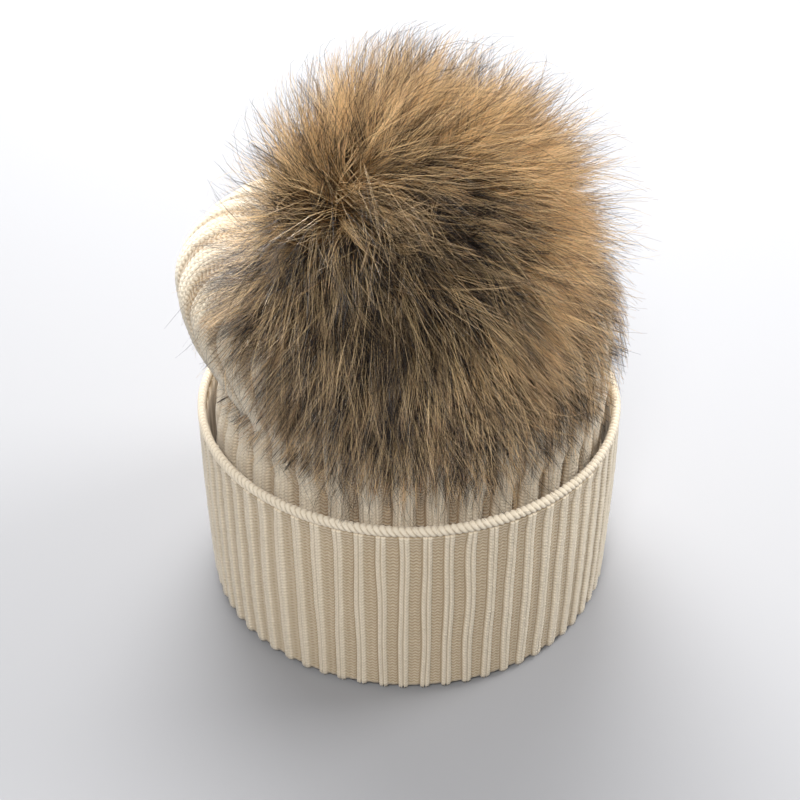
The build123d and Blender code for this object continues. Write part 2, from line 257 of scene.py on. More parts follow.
def rings_mesh(name, rings, v, relief, closed, fan_at=None):
    """Mesh through successive rings of points. closed joins the last ring to the first one.

    fan_at is a ring and two centre points: after that ring the surface closes to the first point
    and starts again from the second.
    """
    count, cols = rings.shape[:2]
    index = np.arange(count * cols).reshape(count, cols)
    u0 = np.arange(cols) / cols
    u1 = u0 + 1 / cols
    lower = [i for i in range(count if closed else count - 1) if not fan_at or i != fan_at[0]]
    upper = [(i + 1) % count for i in lower]
    v0, v1 = v[lower], np.where(np.array(upper) == 0, 1.0, v[upper])
    quads = quads_between(index[lower], index[upper])
    uv = corner_uv(u0, u1, v0[:, None], v1[:, None])
    verts, values, tris = rings.reshape(-1, 3), relief.reshape(-1), None
    if fan_at:
        ring, centres = fan_at
        hub = len(verts)
        verts, values = np.vstack([verts, centres]), np.append(values, [0.5, 0.5])
        here, after = index[ring], index[ring + 1]
        tris = np.concatenate([np.stack([here, np.roll(here, -1), np.full(cols, hub)], -1),
                               np.stack([np.roll(after, -1), after, np.full(cols, hub + 1)], -1)])
        for v_rim, first, second in ((v[ring], u0, u1), (v[ring + 1], u1, u0)):
            at = np.full(cols, v_rim)
            corners = [np.stack([u, at], -1) for u in (first, second, (u0 + u1) / 2)]
            uv = np.concatenate([uv, np.stack(corners, 1).reshape(-1, 2)])
    return make_mesh(name, verts, quads, tris, uv, {"relief": values})


# ---- cuff ----

CUFF_LO, CUFF_HI = [np.array(c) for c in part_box("turn_up_cuff")]
CUFF_R_TOP = (CUFF_HI[0] - CUFF_LO[0]) / 2
CUFF_R_RIM = CUFF_R_TOP - 3.1 * MM
CUFF_R_MID = CUFF_R_TOP - 0.9 * MM  # at half height, where the cuff bows out a little
CUFF_TOP = CUFF_HI[2]
LEAF = 3.6 * MM                    # knit thickness of the visible leaf
INNER_LEAF = 3.2 * MM
LEAF_GAP = 0.4 * MM
FOLD_R = 3.6 * MM
INNER_TOP = 56 * MM                # where the inner leaf meets the crown
INNER_TOP_R = 77.1 * MM
INNER_R = CUFF_R_RIM - LEAF - LEAF_GAP - INNER_LEAF
CUFF_RIB_DEPTH = 1.5 * MM
CUFF_RELIEF = 0.75 * MM            # height of the single stitches
FAINT = 0.35                       # strength of the knit's relief where the cuff's edge or rim hides it
EDGE_FADE = 6 * MM                 # length over which the ribs end under the rolled edge


def oval_angle(fraction):
    """Angle round the hat at a fraction of its girth, so that stitches are evenly wide."""
    a = np.linspace(0, 2 * math.pi, 2001)
    step = np.hypot(np.gradient(np.cos(a)), OVAL_RATIO * np.gradient(np.sin(a)))
    run = np.concatenate([[0], np.cumsum((step[1:] + step[:-1]) / 2)])
    return np.interp(fraction % 1, run / run[-1], a) + 2 * math.pi * np.floor(fraction)


def on_oval(r, z, theta):
    """Point of the leaning oval hat at half-width r and height z."""
    return np.stack([r * np.cos(theta), OVAL_RATIO * r * np.sin(theta) + LEAN * z, z + 0 * theta], -1)


def oval_normal(theta):
    """Outward unit normal of the oval, level."""
    return unit(np.stack([np.cos(theta) * OVAL_RATIO, np.sin(theta), 0 * theta], -1))


def outer_profile(z):
    """Half-width of the cuff's outer face at height z: the arc through rim, middle and top."""
    f = (z - FOLD_R) / (CUFF_TOP - FOLD_R)
    bow = CUFF_R_MID - (CUFF_R_RIM + CUFF_R_TOP) / 2
    return CUFF_R_RIM + (CUFF_R_TOP - CUFF_R_RIM) * f + 4 * bow * f * (1 - f)


def cuff_path():
    """Rings of the folded band: r, z, which way is outward (r, z), and the strength of the relief."""
    middle = (INNER_R + CUFF_R_RIM) / 2
    gap_low = FOLD_R + 1 * MM
    third = CUFF_ROW / 3
    path = []
    n = int((INNER_TOP - FOLD_R) / (CUFF_ROW * 1.5))
    for f in np.arange(n) / n:                            # down the face against the head
        path.append((INNER_TOP_R + (INNER_R - INNER_TOP_R) * f, INNER_TOP + (FOLD_R - INNER_TOP) * f,
                     -1, 0, FAINT))
    n = int(math.pi * FOLD_R / third)
    for f in np.arange(n) / n:                            # round the fold
        a = math.pi * (1 + f)
        path.append((middle + FOLD_R * math.cos(a), FOLD_R + FOLD_R * math.sin(a),
                     math.cos(a), math.sin(a), FAINT + (1 - FAINT) * f))
    n = int((CUFF_TOP - FOLD_R) / third)
    n -= n % 3
    for f in np.arange(n + 1) / n:                        # up the visible face
        z = FOLD_R + (CUFF_TOP - FOLD_R) * f
        fade = min(1.0, (CUFF_TOP - z) / EDGE_FADE)
        path.append((outer_profile(z), z, 1, 0, FAINT + (1 - FAINT) * fade))
    for z in np.linspace(CUFF_TOP, gap_low, 13):          # down the back of the visible leaf
        path.append((outer_profile(z) - LEAF, z, -1, 0, 0.0))
    back_low, back_high = INNER_R + INNER_LEAF, INNER_TOP_R + INNER_LEAF + 0.2 * MM
    for f in np.linspace(0, 1, 11):                       # up the back of the inner leaf
        path.append((back_low + (back_high - back_low) * f, gap_low + (INNER_TOP - gap_low) * f,
                     1, 0, 0.0))
    return np.array(path)


def build_cuff():
    """The folded band with its two-and-two ribs, one closed sheet."""
    place, across, relief, lift = stitch_columns(CUFF_RIBS, knit_wales=2, purl_wales=2, purl_width=1.1)
    r, z, out_r, out_z, strength = [column[:, None] for column in cuff_path().T]
    ring = np.arange(len(r))
    third = ring % 3
    x = place[third]
    row = (ring / 3)[:, None]
    drift, stitch, rib = knit_faults(x, row, CUFF_RIBS, cells=2, drift_rows=14, swell_rows=9, seed=11)
    theta = oval_angle(x + drift * 0.25 / (CUFF_RIBS * 4))  # strays up to a quarter of a wale
    crest = rib_crest(across[third], wales=2, groove=0.6)
    height = crest * CUFF_RIB_DEPTH * rib + relief[third] * stitch * CUFF_RELIEF
    offset = (height - CUFF_RIB_DEPTH - CUFF_RELIEF) * strength
    up = lift[third] * 3 * strength
    p = on_oval(r + np.gradient(r, axis=0) * up, z + np.gradient(z, axis=0) * up, theta)
    n = oval_normal(theta) * out_r[..., None] + np.array([0, 0, 1.0]) * out_z[..., None]
    # Painted shade: darker in the ribs' grooves and between the stitches, where shade falls, and paler on the
    # crests.
    shade = CREST_SHADE * crest + (1 - CREST_SHADE) * relief[third]
    return rings_mesh("turn_up_cuff_knit", p + n * offset[..., None], ring / len(ring), shade, closed=True)


# ---- crown ----

CROWN_RIB_DEPTH = 2.0 * MM
CROWN_RELIEF = 0.85 * MM           # height of the single stitches
CROWN_START = 0.012                # where the first rib lies, as a share of the girth
CROWN_END = LAST_ROW + 0.93        # row where the knit is closed to a point
TUCK_TOP = 90 * MM                 # below this height the knit is drawn in behind the cuff
TUCK_OVER = 8 * MM                 # length over which that happens
TUCK = 1.3 * MM                    # how far it is drawn in,
TUCK_GROOVE = 1.6 * MM             # and how much deeper its grooves are there
INSIDE_EXTRA = 0.6 * MM            # depth of the inner face past the knit's thickness,
INSIDE_RIB = 0.8 * MM              # and depth of the ribs on it
SWIRL_MIDDLE = 170.0               # the ribs of the slump turn round the hat, most in this direction
SWIRL_HALF_WIDTH = 90.0
SWIRL_ROWS = (3.5, 8.0)            # crown rows between which the ribs of the slump turn
SWIRL_TURN = math.radians(33)


def swirl(t, theta):
    """How far the ribs of the slump are turned round the hat at row t."""
    f = np.clip((t - SWIRL_ROWS[0]) / (SWIRL_ROWS[1] - SWIRL_ROWS[0]), 0, 1)
    return -SWIRL_TURN * side_weight(theta, SWIRL_MIDDLE, SWIRL_HALF_WIDTH) * ease(f)


def crown_rings():
    """Row number t of each ring, evenly spaced along the knit: three rings to a row of stitches."""
    angles = np.linspace(0, 2 * math.pi, 73)[:-1]
    fine = np.linspace(0, CROWN_END, 600)
    grid = crown_outer(fine[:, None], angles)
    run = np.linalg.norm(np.diff(grid, axis=0), axis=-1).mean(1)
    run = np.concatenate([[0], np.cumsum(run)])
    count = int(run[-1] / CROWN_ROW) * 3
    return np.interp(np.arange(count) / count * run[-1], run, fine)


def build_crown():
    """The ribbed tube with its inner face, closed to a point at the gathered top."""
    place, across, relief, lift = stitch_columns(CROWN_RIBS, knit_wales=4, purl_wales=1, purl_width=1.5)
    t_of = crown_rings()
    ring = np.arange(len(t_of))
    third = ring % 3
    x = place[third]
    row = (ring / 3)[:, None]
    drift, stitch, rib = knit_faults(x, row, CROWN_RIBS, cells=5, drift_rows=16, swell_rows=10, seed=21)
    theta = oval_angle(x + CROWN_START + drift * 0.20 / (CROWN_RIBS * 5))  # up to a fifth of a wale
    t = t_of[:, None] + np.gradient(t_of)[:, None] * 3 * lift[third]
    theta = theta + swirl(t, theta)
    p = crown_outer(t, theta)
    n = crown_normal(t, theta)
    drawn = ease(np.clip((TUCK_TOP - p[..., 2]) / TUCK_OVER, 0, 1))
    p = p - n * (TUCK * drawn)[..., None]
    girth = np.linalg.norm(np.roll(p, -1, axis=1) - p, axis=-1).sum(1)
    tight = np.clip(girth / girth.max(), 0.05, 1)[:, None] ** 0.6      # shallower ribs where it is gathered
    crest = rib_crest(across[third], wales=4, groove=0.3)
    height = (crest * CROWN_RIB_DEPTH * rib + relief[third] * stitch * CROWN_RELIEF) * tight
    full = (CROWN_RIB_DEPTH + CROWN_RELIEF) * tight
    outer = p + n * (height - full + (crest - 1) * TUCK_GROOVE * drawn)[..., None]
    back = ring[::-6]                                                  # the inner face has fewer rings
    depth = CROWN_KNIT + INSIDE_EXTRA - INSIDE_RIB * crest[back] * tight[back]
    depth = depth + (TUCK + TUCK_GROOVE) * drawn[back]
    t_back = t_of[back][:, None]
    inner = crown_outer(t_back, theta[back]) - crown_normal(t_back, theta[back]) * depth[..., None]
    rings = np.concatenate([outer, inner])
    # Painted shade, as on the cuff: darker in the ribs' grooves and between the stitches, paler on the
    # crests; the inner face gets an even middle tone.
    shade = CREST_SHADE * crest + (1 - CREST_SHADE) * relief[third]
    shade = np.concatenate([shade, 0.5 + 0 * depth])
    centres = SEAT - SNAP_AXIS * 1.0 * MM, SEAT - SNAP_AXIS * (CROWN_KNIT + 0.5 * MM)
    return rings_mesh("knit_crown_rib", rings, np.arange(len(rings)) / len(rings), shade, closed=True,
                      fan_at=(len(outer) - 1, centres))


# ======== materials ========

def nodes_of(name):
    """New material with its node tree and its shader."""
    mat = bpy.data.materials.new(name)
    mat.use_nodes = True
    tree = mat.node_tree
    return mat, tree, tree.nodes["Principled BSDF"]


def node(tree, kind, inputs=None, **props):
    """New node with its inputs' values, by name, and its properties."""
    made = tree.nodes.new(kind)
    for key, value in props.items():
        setattr(made, key, value)
    for key, value in (inputs or {}).items():
        made.inputs[key].default_value = value
    return made


def texture(tree, kind, inputs, stretch=None, **props):
    """Texture node that reads the object's coordinates, which may be stretched."""
    made = node(tree, kind, inputs, **props)
    place = node(tree, "ShaderNodeTexCoord").outputs["Object"]
    if stretch:
        mapping = node(tree, "ShaderNodeMapping", {"Scale": stretch})
        tree.links.new(place, mapping.inputs["Vector"])
        place = mapping.outputs["Vector"]
    tree.links.new(place, made.inputs["Vector"])
    return made.outputs["Fac"]


def mix_colour(tree, factor, a, b, blend="MIX"):
    """Mix of two colours; each argument is a value or another node's output."""
    made = node(tree, "ShaderNodeMix", data_type="RGBA", blend_type=blend)
    for socket, value in ((made.inputs[0], factor), (made.inputs[6], a), (made.inputs[7], b)):
        if hasattr(value, "links"):
            tree.links.new(value, socket)
        else:
            socket.default_value = value
    return made.outputs[2]


def finish_surface(tree, bsdf, colour, height, strength, depth, values):
    """Link a colour and a bump to the shader, and set its other inputs to these values."""
    tree.links.new(colour, bsdf.inputs["Base Color"])
    bump = node(tree, "ShaderNodeBump", {"Strength": strength, "Distance": depth})
    tree.links.new(height, bump.inputs["Height"])
    tree.links.new(bump.outputs["Normal"], bsdf.inputs["Normal"])
    for key, value in values.items():
        bsdf.inputs[key].default_value = value


def knit_material(name, groove, crest):
    """Woollen yarn with painted shade: darker in the knit's grooves and paler on its crests, fuzzy and a
    little uneven.
    """
    mat, tree, bsdf = nodes_of(name)
    # The relief attribute is a painted shade mask: low in the grooves and between the stitches, where shade
    # falls, and high on the crests.
    relief = node(tree, "ShaderNodeAttribute", attribute_name="relief")
    ramp = node(tree, "ShaderNodeValToRGB")
    for element, place, colour in zip(ramp.color_ramp.elements, (0.10, 0.72), (groove, crest)):
        element.position, element.color = place, (*colour, 1)
    tree.links.new(relief.outputs["Fac"], ramp.inputs["Fac"])
    yarn_noise = texture(tree, "ShaderNodeTexNoise", {"Scale": 900.0, "Detail": 3.0, "Roughness": 0.65})
    patch = texture(tree, "ShaderNodeTexNoise", {"Scale": 45.0, "Detail": 2.0})
    uneven = mix_colour(tree, patch, (0.93, 0.91, 0.87, 1), (1.04, 1.03, 1.02, 1))
    fuzz = mix_colour(tree, yarn_noise, (0.80, 0.77, 0.72, 1), (1.16, 1.17, 1.18, 1))
    colour = mix_colour(tree, 1.0, ramp.outputs["Color"], uneven, "MULTIPLY")
    colour = mix_colour(tree, 1.0, colour, fuzz, "MULTIPLY")
    wool = {"Roughness": 0.92, "Sheen Weight": 0.25, "Sheen Roughness": 0.5, "Specular IOR Level": 0.25}
    finish_surface(tree, bsdf, colour, yarn_noise, 0.55, 0.3 * MM, wool)
    return mat


# The yarn's cream on the knit's crests, and painted shade in its grooves, darker on the crown.
CREAM = (0.84, 0.755, 0.62)
GROOVE_PAINTED_SHADE = (0.42, 0.325, 0.21)
CROWN_GROOVE_PAINTED_SHADE = (0.36, 0.26, 0.16)
cuff_mat = knit_material("cuff_knit", GROOVE_PAINTED_SHADE, CREAM)
crown_mat = knit_material("crown_knit", CROWN_GROOVE_PAINTED_SHADE, CREAM)


def hand_over(piece, body, owner, material):
    """Give a piece its material and body, and hide the CAD part that it stands for."""
    piece.data.materials.append(material)
    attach(piece, body)
    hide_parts(owner)
    return piece


cuff = hand_over(build_cuff(), "hat", "turn_up_cuff", cuff_mat)
crown = hand_over(build_crown(), "hat", "knit_crown", crown_mat)


# ======== small knit and sewn parts ========

SNAP_X = np.array([1.0, 0.0, 0.0])
SNAP_Y = np.cross(SNAP_AXIS, SNAP_X)


def on_snap(points):
    """Points given about the snap axis, in metres from the seat, moved to their place."""
    points = np.asarray(points, float)
    return SEAT + points[..., :1] * SNAP_X + points[..., 1:2] * SNAP_Y + points[..., 2:3] * SNAP_AXIS


def stitched_roll(name, r, z, half_r, half_z, pitch, slant):
    """Rolled knit edge round the hat, with a slanting stitch at each pitch of its girth."""
    girth = 2 * math.pi * r * (1 + OVAL_RATIO) / 2
    stitches = int(girth / pitch)
    columns, around = stitches * 6, 20
    u = np.arange(columns) / columns
    phi = np.arange(around) / around * 2 * math.pi
    phase = u[None, :] * stitches + slant * np.sin(phi)[:, None]
    relief = np.abs(np.sin(math.pi * phase)) ** 0.7
    wobble = 1 + 0.08 * smooth_noise(u * 60, 3.3, 60, 41)[None, :]
    swell = (0.68 + 0.32 * relief) * wobble
    rr = r + half_r * swell * np.cos(phi)[:, None]
    zz = z + half_z * swell * np.sin(phi)[:, None]
    theta = oval_angle(u)[None, :] + 0 * rr
    # Painted shade: darker between the roll's stitches, where shade falls, and paler on them.
    shade = 0.20 + 0.80 * relief
    return rings_mesh(name, on_oval(rr, zz, theta), np.arange(around) / around, shade, closed=True)


def yarn(name, path, radius, plies, turn, closed=False, around=8):
    """Twisted yarn along a path of points, one tube for each ply; turn is the length of one twist."""
    path = np.asarray(path, float)
    if closed:
        tangent = unit(np.roll(path, -1, 0) - np.roll(path, 1, 0))
    else:
        tangent = unit(np.gradient(path, axis=0))
    helper = np.array([0.21, 0.35, 0.91])
    if abs(tangent[0] @ helper) >= 0.9:
        helper = SNAP_X
    side = unit(np.cross(tangent, helper))
    other = np.cross(tangent, side)
    run = np.concatenate([[0], np.cumsum(np.linalg.norm(np.diff(path, axis=0), axis=1))])
    turns = max(1, round(run[-1] / turn))
    share = np.arange(len(path)) / len(path) if closed else run / run[-1]
    phi = np.arange(around) / around * 2 * math.pi
    verts, quads = [], []
    for ply in range(plies):
        a = 2 * math.pi * (share * turns + ply / plies)
        centre = path + (side * np.cos(a)[:, None] + other * np.sin(a)[:, None]) * radius * 0.48
        ring = (centre[:, None] + (side[:, None] * np.cos(phi)[:, None]
                                   + other[:, None] * np.sin(phi)[:, None]) * radius * 0.56)
        index = np.arange(len(path) * around).reshape(len(path), around) + len(path) * around * ply
        if closed:
            quads.append(quads_between(index, np.roll(index, -1, 0)))
        else:
            quads.append(quads_between(index[:-1], index[1:]))
        verts.append(ring.reshape(-1, 3))
    return make_mesh(name, np.concatenate(verts), np.concatenate(quads))


def circle(radius, height, count, wave=0.0, waves=0):
    """Points of a circle about the snap axis, which may rise and fall."""
    a = np.arange(count) / count * 2 * math.pi
    z = height + wave * np.sin(waves * a)
    return on_snap(np.stack([radius * np.cos(a), radius * np.sin(a), z], -1))


def revolved_sheet(name, profile, around, ripple=None):
    """Closed (radius, height) profile turned about the snap axis. ripple moves single points."""
    profile = np.asarray(profile, float)
    a = np.arange(around) / around * 2 * math.pi
    r = profile[:, 0][:, None] + 0 * a
    z = profile[:, 1][:, None] + 0 * a
    if ripple is not None:
        r, z = ripple(r, z, a + 0 * r)
    rings = on_snap(np.stack([r * np.cos(a), r * np.sin(a), z], -1))
    v = np.arange(len(profile)) / len(profile)
    return rings_mesh(name, rings, v, 0.5 + 0 * r, closed=True)


def disc_profile(inner, outer, low, high, edge):
    """Flat ring with rounded edges, as a closed profile."""
    radii = np.linspace(inner + edge, outer - edge, 14)
    arc = np.linspace(-math.pi / 2, math.pi / 2, 6)[1:-1]
    middle, half = (low + high) / 2, (high - low) / 2
    points = [(r, low) for r in radii]
    points += [(outer - edge + edge * math.cos(a), middle + half * math.sin(a)) for a in arc]
    points += [(r, high) for r in radii[::-1]]
    points += [(inner + edge - edge * math.cos(a), middle - half * math.sin(a)) for a in arc]
    return points


# The sewn parts' sizes, and their heights along the snap axis, as in CAD
STUD_STITCH_R = 6.0 * MM
STITCH_ARCH = 1.45 * MM
STITCH_THREAD = 0.35 * MM
BACKING_LOW, BACKING_HIGH = 4.2 * MM, 5.7 * MM
BACKING_R = 15 * MM
SOCKET_HOLE = 3.1 * MM
PATCH_R = 11 * MM
PATCH_THICK = 1.2 * MM
GATHER_R = 9.6 * MM
GATHER_YARN = 1.0 * MM
MOUTH_R = 5.0 * MM
MOUTH_CORD = 0.68 * MM
PELT_OUT, PELT_THICK = 32 * MM, 1.4 * MM
POM_MIDDLE = 35.7 * MM             # height of the pom's middle over the seat
SEAM_R, SEAM_Z = 78.8 * MM, 57 * MM          # where the cuff is linked to the crown
LABEL_GAP = 0.15 * MM              # between the label and the knit at its top
LABEL_THICK = 0.28 * MM
LABEL_AT_Y = 4 * MM                # middle of the label
LABEL_STITCHES = 8
LABEL_STEP = 24 * MM / LABEL_STITCHES
LABEL_STITCH_R = 76.6 * MM
LABEL_THREAD = 0.28 * MM


def felt_ripple(seed):
    """Small unevenness of a felt's surface."""
    def move(r, z, a):
        """Radii and heights of the profile's points round the axis, with that unevenness."""
        turn = a / (2 * math.pi)
        return (r + 0.10 * MM * smooth_noise(turn * 70, r / (0.7 * MM), 70, seed),
                z + 0.05 * MM * smooth_noise(turn * 50, r / MM, 50, seed + 1))
    return move


def arch_stitches(name, base, side):
    """Four loops of thread from the sewing holes out over the flange's rim, as one mesh."""
    parts = []
    a = np.linspace(-0.15, math.pi + 0.15, 25)
    r = STUD_STITCH_R + STITCH_ARCH * np.cos(a)
    z = base + side * STITCH_ARCH * np.sin(a)
    for turn in np.arange(4) * math.pi / 2:
        for strand in (-0.5, 0.5):
            across = strand * 1.1 * STITCH_THREAD
            points = np.stack([r * math.cos(turn) - across * math.sin(turn),
                               r * math.sin(turn) + across * math.cos(turn), z], -1)
            strand_r = STITCH_THREAD * 0.62
            parts.append(yarn("strand", on_snap(points), strand_r, plies=2, turn=0.9 * MM, around=6))
    return join(name, parts)


def join(name, parts):
    """One object out of several meshes with no UV layers."""
    verts, quads, start = [], [], 0
    for part in parts:
        mesh = part.data
        co = np.empty(len(mesh.vertices) * 3, np.float32)
        mesh.vertices.foreach_get("co", co)
        index = np.empty(len(mesh.loops), np.int32)
        mesh.loops.foreach_get("vertex_index", index)
        verts.append(co.reshape(-1, 3))
        quads.append(index.reshape(-1, 4) + start)
        start += len(mesh.vertices)
        bpy.data.objects.remove(part)
        bpy.data.meshes.remove(mesh)
    return make_mesh(name, np.concatenate(verts), np.concatenate(quads))


def ball_arc(radius, foot, points):
    """Profile of a ball about the pom's middle, from the height where it is cut off to its top."""
    angles = np.linspace(math.asin((foot - POM_MIDDLE) / radius), math.pi / 2 - 0.02, points)
    return [(radius * math.cos(a), POM_MIDDLE + radius * math.sin(a)) for a in angles]


def pelt_profile():
    """Ball shell, cut off flat at its foot, with a mouth there."""
    outside = ball_arc(PELT_OUT, BACKING_HIGH, 40)
    inside = ball_arc(PELT_OUT - PELT_THICK, BACKING_HIGH + PELT_THICK, 40)
    foot = [(r, BACKING_HIGH) for r in np.linspace(MOUTH_R, outside[0][0], 6)[:-1]]
    return foot + outside + inside[::-1] + [(MOUTH_R + 0.3 * MM, BACKING_HIGH + PELT_THICK)]


def stuffing_profile():
    """Solid ball cut off flat at its foot, closed along the axis."""
    outside = ball_arc(PELT_OUT - PELT_THICK, BACKING_HIGH + PELT_THICK, 50)
    foot = [(r, BACKING_HIGH + PELT_THICK) for r in np.linspace(0.02 * MM, outside[0][0], 8)[:-1]]
    axis = [(0.02 * MM, z) for z in np.linspace(outside[-1][1], foot[0][1], 12)[1:-1]]
    return foot + outside + axis


def pleats(r, z, a):
    """Gathers of the pelt towards its mouth."""
    near = np.exp(-np.maximum(r - MOUTH_R, 0) / (7 * MM)) * (z < POM_MIDDLE)
    return r, z + 0.45 * MM * near * (1 + np.cos(26 * a))


def lumps(r, z, a):
    """Uneven surface of the fibre filling, inside the pelt."""
    n = smooth_noise(a / (2 * math.pi) * 14, z / (5 * MM) + 20, 14, 61)
    fine = smooth_noise(a / (2 * math.pi) * 50, z / (1.4 * MM) + 60, 50, 62)
    pull = 1 - 0.022 * (1 + n) - 0.008 * (1 + fine)
    return r * pull, POM_MIDDLE + (z - POM_MIDDLE) * np.where(z > POM_MIDDLE - 27 * MM, pull, 1)


def oval_x(r, y, z):
    """The x of a point of the leaning oval of half-width r, at y and z, on the +X side."""
    return r * np.cos(np.arcsin(np.clip((y - LEAN * z) / (OVAL_RATIO * r), -1, 1)))


def label_sheet(name):
    """Blank woven satin tab hanging from the linking seam inside the cuff, at the wearer's right."""
    low, high = [np.array(c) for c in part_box("care_label")]
    y, z = np.meshgrid(np.linspace(low[1], high[1], 40), np.linspace(high[2], low[2], 60))
    face = INNER_TOP_R + (INNER_R - INNER_TOP_R) * (INNER_TOP - z) / (INNER_TOP - FOLD_R) - LABEL_GAP
    hang = (high[2] - z) / (high[2] - low[2])
    side = (y - low[1]) / (high[1] - low[1]) - 0.5
    curl = hang**2 * (0.9 + 0.7 * np.cos(5 * side + 0.6)) * MM + 0.12 * MM * np.sin(17 * side) * hang
    x = oval_x(face - curl, y, z)
    front = np.stack([x - LABEL_THICK, y, z], -1)
    back = np.stack([x, y, z], -1)
    index = np.arange(x.size).reshape(x.shape)
    far = index + x.size
    quads = [np.stack([index[:-1, :-1], index[1:, :-1], index[1:, 1:], index[:-1, 1:]], -1).reshape(-1, 4),
             np.stack([far[:-1, :-1], far[:-1, 1:], far[1:, 1:], far[1:, :-1]], -1).reshape(-1, 4)]
    for edge, other in ((index[0], far[0]), (index[:, -1], far[:, -1]),
                        (index[-1, ::-1], far[-1, ::-1]), (index[::-1, 0], far[::-1, 0])):
        quads.append(np.stack([edge[:-1], edge[1:], other[1:], other[:-1]], -1))
    verts = np.concatenate([front.reshape(-1, 3), back.reshape(-1, 3)])
    return make_mesh(name, verts, np.concatenate(quads))


def label_thread(name):
    """Short stitches across the top of the label."""
    low, high = [np.array(c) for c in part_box("label_stitches")]
    z = (low[2] + high[2]) / 2
    bow = 0.15 * MM * np.cos(np.linspace(-1, 1, 9) * math.pi / 2)
    parts = []
    for i in range(LABEL_STITCHES):
        middle = LABEL_AT_Y + (i + 0.5 - LABEL_STITCHES / 2) * LABEL_STEP
        y = middle + np.linspace(-0.3, 0.3, 9) * LABEL_STEP
        points = np.stack([oval_x(LABEL_STITCH_R, y, z) - bow, y, z + 0 * y], -1)
        parts.append(yarn("strand", points, LABEL_THREAD, plies=2, turn=0.8 * MM, around=6))
    return join(name, parts)


# ---- materials of the small parts ----

def fibre_material(name, dark, pale, scale, strength, rough=0.95, sheen=0.3, stretch=None):
    """Matt fibrous stuff: two shades mixed by noise, with a fibre bump."""
    mat, tree, bsdf = nodes_of(name)
    noise = texture(tree, "ShaderNodeTexNoise", {"Scale": scale, "Detail": 5.0, "Roughness": 0.7}, stretch)
    colour = mix_colour(tree, noise, (*dark, 1), (*pale, 1))
    finish_surface(tree, bsdf, colour, noise, strength, 0.2 * MM, {"Roughness": rough, "Sheen Weight": sheen})
    return mat


def metal_material(name, colour, rough):
    """Plated metal with fine wear: roughness and tint vary a little."""
    mat, tree, bsdf = nodes_of(name)
    noise = texture(tree, "ShaderNodeTexNoise", {"Scale": 700.0, "Detail": 6.0})
    worn = mix_colour(tree, noise, (*(c * 0.82 for c in colour), 1), (*colour, 1))
    finish_surface(tree, bsdf, worn, noise, 0.08, 0.1 * MM, {"Metallic": 1.0})
    spread = node(tree, "ShaderNodeMapRange", {"To Min": rough * 0.7, "To Max": rough * 1.5})
    tree.links.new(noise, spread.inputs["Value"])
    tree.links.new(spread.outputs["Result"], bsdf.inputs["Roughness"])
    return mat


def satin_material(name, colour):
    """Woven satin: fine bars across the tab in its colour and bump."""
    mat, tree, bsdf = nodes_of(name)
    bars = {"Scale": 900.0, "Distortion": 1.5, "Detail": 2.0}
    wave = texture(tree, "ShaderNodeTexWave", bars, bands_direction="Z")
    woven = mix_colour(tree, wave, (*(c * 0.86 for c in colour), 1), (*colour, 1))
    finish_surface(tree, bsdf, woven, wave, 0.25, 0.1 * MM, {"Roughness": 0.34, "Sheen Weight": 0.2})
    return mat


cream_thread = fibre_material("cream_thread", (0.50, 0.43, 0.32), (0.86, 0.80, 0.68), 2500.0, 0.5, 0.6)
brown_thread = fibre_material("brown_thread", (0.05, 0.03, 0.02), (0.16, 0.10, 0.06), 2500.0, 0.5, 0.6)
cream_yarn = fibre_material("cream_yarn", (0.55, 0.46, 0.33), (0.86, 0.79, 0.66), 1400.0, 0.6)
cream_felt = fibre_material("cream_felt", (0.52, 0.45, 0.34), (0.80, 0.73, 0.60), 1100.0, 0.7)
brown_felt = fibre_material("brown_felt", (0.10, 0.065, 0.04), (0.24, 0.16, 0.10), 1100.0, 0.7)
pelt_cloth = fibre_material("pelt_cloth", (0.07, 0.045, 0.03), (0.17, 0.11, 0.07), 1600.0, 0.7)
filling = fibre_material("filling", (0.74, 0.74, 0.72), (0.95, 0.95, 0.93), 420.0, 0.9, rough=0.9, sheen=0.5,
                         stretch=(1, 3, 1))
nickel = metal_material("nickel", (0.72, 0.70, 0.66), 0.22)
spring_steel = metal_material("spring_steel", (0.60, 0.61, 0.63), 0.30)
satin = satin_material("satin", (0.88, 0.86, 0.82))

ROLL = 2.0 * MM
WELT_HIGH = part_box("cuff_edge_welt")[1]
welt = stitched_roll("cuff_edge_roll", WELT_HIGH[0] - 1.1 * ROLL, WELT_HIGH[2] - 1.1 * ROLL,
                     half_r=0.9 * ROLL, half_z=1.05 * ROLL, pitch=2.4 * MM, slant=0.55)
chain = stitched_roll("linking_chain", SEAM_R, SEAM_Z,
                      half_r=1.8 * MM, half_z=1.3 * MM, pitch=2.9 * MM, slant=0.30)
gathers = circle(GATHER_R, GATHER_YARN, 240, wave=0.15 * MM, waves=9)
gather = yarn("gather_yarn", gathers, GATHER_YARN, plies=3, turn=5 * MM, closed=True)
patch_profile = disc_profile(0.01 * MM, PATCH_R, -CROWN_KNIT - PATCH_THICK, -CROWN_KNIT, 0.5 * MM)
patch = revolved_sheet("crown_felt_patch", patch_profile, 120, felt_ripple(51))
stud_threads = arch_stitches("stud_threads", 0.0, 1)
label = label_sheet("blank_label")
label_threads = label_thread("label_threads")
socket_threads = arch_stitches("socket_threads", BACKING_LOW, -1)
backing_profile = disc_profile(SOCKET_HOLE, BACKING_R, BACKING_LOW, BACKING_HIGH, 0.6 * MM)
backing = revolved_sheet("backing_felt", backing_profile, 150, felt_ripple(53))
pelt = revolved_sheet("pelt_ball", pelt_profile(), 208, pleats)
stuffing = revolved_sheet("fibre_stuffing", stuffing_profile(), 120, lumps)
mouth = circle(MOUTH_R - MOUTH_CORD - 0.05 * MM, BACKING_HIGH + PELT_THICK / 2, 120)
mouth_cord = yarn("mouth_cord", mouth, MOUTH_CORD, plies=2, turn=2.5 * MM, closed=True)

